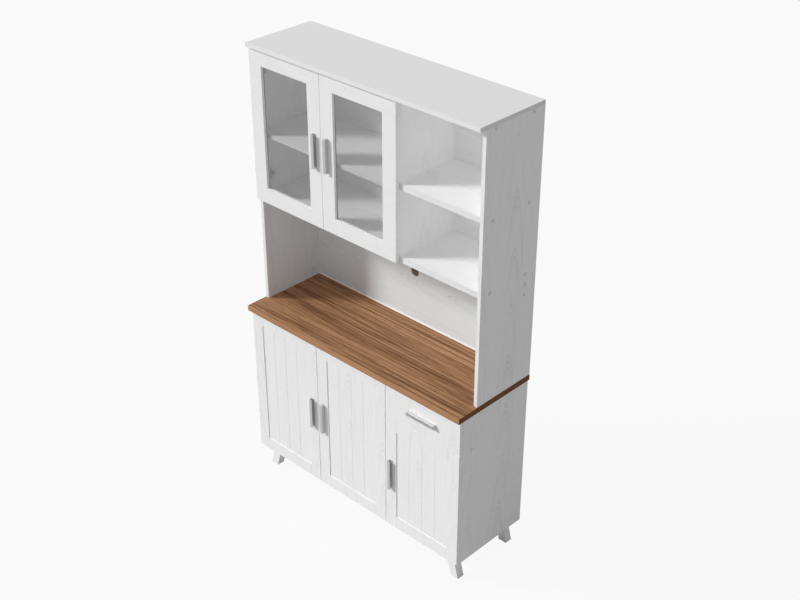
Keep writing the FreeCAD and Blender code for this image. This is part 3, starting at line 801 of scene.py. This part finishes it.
# Screws through each door into its handle, and white bumpers at the doors' free corners
HANDLE_SCREW_REACH = 0.048
DOOR_SCREW_HEAD = (0.0040, 0.0009)
BUMPER_EDGE = 0.0095
BUMPER_END = 0.0075
BUMPER_PROFILE = ((0.0, 0.0), (0.004, 0.0), (0.0039, 0.0003), (0.0031, 0.0007),
                  (0.0018, 0.0009), (0.0, 0.00095))
for door, (_, side) in HINGE_WALLS.items():
    grip_low, grip_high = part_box(door + "_handle")
    leaf = door + ("_frame" if door.startswith("glass") else "_stiles")
    leaf_low, leaf_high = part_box(leaf)
    screws = bmesh.new()
    for up in (-1, 1):
        level = halfway(grip_low.z, grip_high.z) + up * HANDLE_SCREW_REACH
        cross_head(screws, (halfway(grip_low.x, grip_high.x), leaf_high.y, level),
                   (0, 1, 0), DOOR_SCREW_HEAD)
    fitted(door + "_handle_screws", screws, zinc, door)
    free = leaf_high.x - BUMPER_EDGE if side < 0 else leaf_low.x + BUMPER_EDGE
    bumpers = bmesh.new()
    for level in (leaf_low.z + BUMPER_END, leaf_high.z - BUMPER_END):
        turned(bumpers, outward((free, leaf_high.y, level), (0, 1, 0)), BUMPER_PROFILE)
    fitted(door + "_bumpers", bumpers, white_plastic, door)

# Drawer. A white front on a box of 12 mm boards, with a thin bottom in grooves, hung on
# steel runners. Screws hold the handle, and cam fittings join the sides to front and back.

lay_finish(door_white, "drawer_front")
lay_finish(lengthwise_white, "drawer_back", "drawer_bottom")
box_white = white_wood("white_wood_drawer_sides", "y", (0.2, 0.4, 0.1), 1.1)
lay_finish(box_white, "drawer_side_left", "drawer_side_right")

DRAWER_SCREW_HEAD = (0.0040, 0.0016)
DRAWER_CAM_RISE = 0.012
front_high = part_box("drawer_front")[1]
grip_low, grip_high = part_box("drawer_handle")
drawer_screws = bmesh.new()
for side in (-1, 1):
    x = halfway(grip_low.x, grip_high.x) + side * HANDLE_SCREW_REACH
    cross_head(drawer_screws, (x, front_high.y, halfway(grip_low.z, grip_high.z)),
               (0, 1, 0), DRAWER_SCREW_HEAD)
for board, inward in (("drawer_side_left", 1), ("drawer_side_right", -1)):
    low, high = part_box(board)
    inner = high.x if inward > 0 else low.x
    for y in (low.y + CAM_SETBACK, high.y - CAM_SETBACK):
        cross_head(drawer_screws, (inner, y, halfway(low.z, high.z) + DRAWER_CAM_RISE),
                   (inward, 0, 0), CAM_HEAD)
fitted("drawer_screws", drawer_screws, zinc, "drawer")

# Studio. A pale floor that keeps a soft shadow, even grey light all round, and one broad
# sun lamp from the front left, at the height that gives the photograph's shadows. The
# camera's place, turn and lens were worked out from the cabinet's corners in the photograph.

FLOOR_HALF = 14.0
# How much of the floor's own white the camera and the mirroring surfaces see
FLOOR_SEEN = 0.92
FLOOR_MIRRORED = 0.05
AMBIENT = 0.359
LAMP_AIM = Vector((0.659, 0.573, -0.487))
LAMP_STRENGTH = 2.32
LAMP_SPREAD = math.radians(12.0)
CAMERA_PLACE = (2.9525, -3.0019, 3.4536)
CAMERA_DIP = 0.5377
CAMERA_TURN = 0.7619
CAMERA_LENS = 59.9


def ray_kind(start, kind):
    """1 for light rays of one kind, 0 for the others."""
    return start.node("ShaderNodeLightPath", {}, {}, output=kind)


def studio_floor():
    """A floor that looks nearly white to the camera and takes a faint shadow."""
    mesh = bpy.data.meshes.new("studio_floor")
    corners = [(x, y, 0.0) for x, y in ((-1, -1), (1, -1), (1, 1), (-1, 1))]
    mesh.from_pydata([tuple(part * FLOOR_HALF for part in corner) for corner in corners],
                     [], [(0, 1, 2, 3)])
    floor = bpy.data.objects.new("studio_floor", mesh)
    bpy.context.scene.collection.objects.link(floor)
    material, shader, start = new_finish("studio_floor")
    board = along_grain(start, "z")
    cloud = noise(board, (2.0, 2.0, 2.0), detail=2.0)
    feed(blended(cloud, (0.55, 0.55, 0.55), (0.57, 0.57, 0.57)), shader, "Base Color")
    shader.inputs["Roughness"].default_value = 0.9
    glow = start.node("ShaderNodeEmission", {}, {"Color": (1.0, 1.0, 1.0, 1.0), "Strength": 1.0})
    seen = (ray_kind(start, "Is Camera Ray") * FLOOR_SEEN
            + ray_kind(start, "Is Glossy Ray") * FLOOR_MIRRORED)
    show(material, start.node("ShaderNodeMixShader", {}, {
        0: seen, 1: Wire(start.tree, shader.outputs["BSDF"]), 2: glow}))
    mesh.materials.append(material)


studio_floor()

# The backdrop is white where it is seen, mirrored or seen through glass, and grey as a light
world = bpy.data.worlds.new("studio")
bpy.context.scene.world = world
world.use_nodes = True
sky = Wire(world.node_tree)
plain_sight = sky.math("MAXIMUM", ray_kind(sky, "Is Camera Ray"), ray_kind(sky, "Is Glossy Ray"))
plain_sight = sky.math("MAXIMUM", plain_sight, ray_kind(sky, "Is Transmission Ray"))
backdrop = world.node_tree.nodes["Background"]
backdrop.inputs["Color"].default_value = (1.0, 1.0, 1.0, 1.0)
strength = plain_sight * (1.0 - AMBIENT) + AMBIENT
world.node_tree.links.new(strength.socket, backdrop.inputs["Strength"])

lamp = bpy.data.lights.new("key_lamp", "SUN")
lamp.energy = LAMP_STRENGTH
lamp.angle = LAMP_SPREAD
lamp_object = bpy.data.objects.new("key_lamp", lamp)
lamp_object.rotation_euler = LAMP_AIM.to_track_quat("-Z", "Y").to_euler()
bpy.context.scene.collection.objects.link(lamp_object)

camera = bpy.data.cameras.new("camera")
camera.lens = CAMERA_LENS
camera.sensor_width = 36.0
camera.clip_start = 0.05
camera.clip_end = 100.0
camera_object = bpy.data.objects.new("camera", camera)
camera_object.location = CAMERA_PLACE
camera_object.rotation_euler = (math.pi / 2 - CAMERA_DIP, 0.0, CAMERA_TURN)
bpy.context.scene.collection.objects.link(camera_object)
bpy.context.scene.camera = camera_object
bpy.context.scene.view_settings.view_transform = "Standard"
bpy.context.scene.cycles.max_bounces = 16
bpy.context.scene.cycles.diffuse_bounces = 12
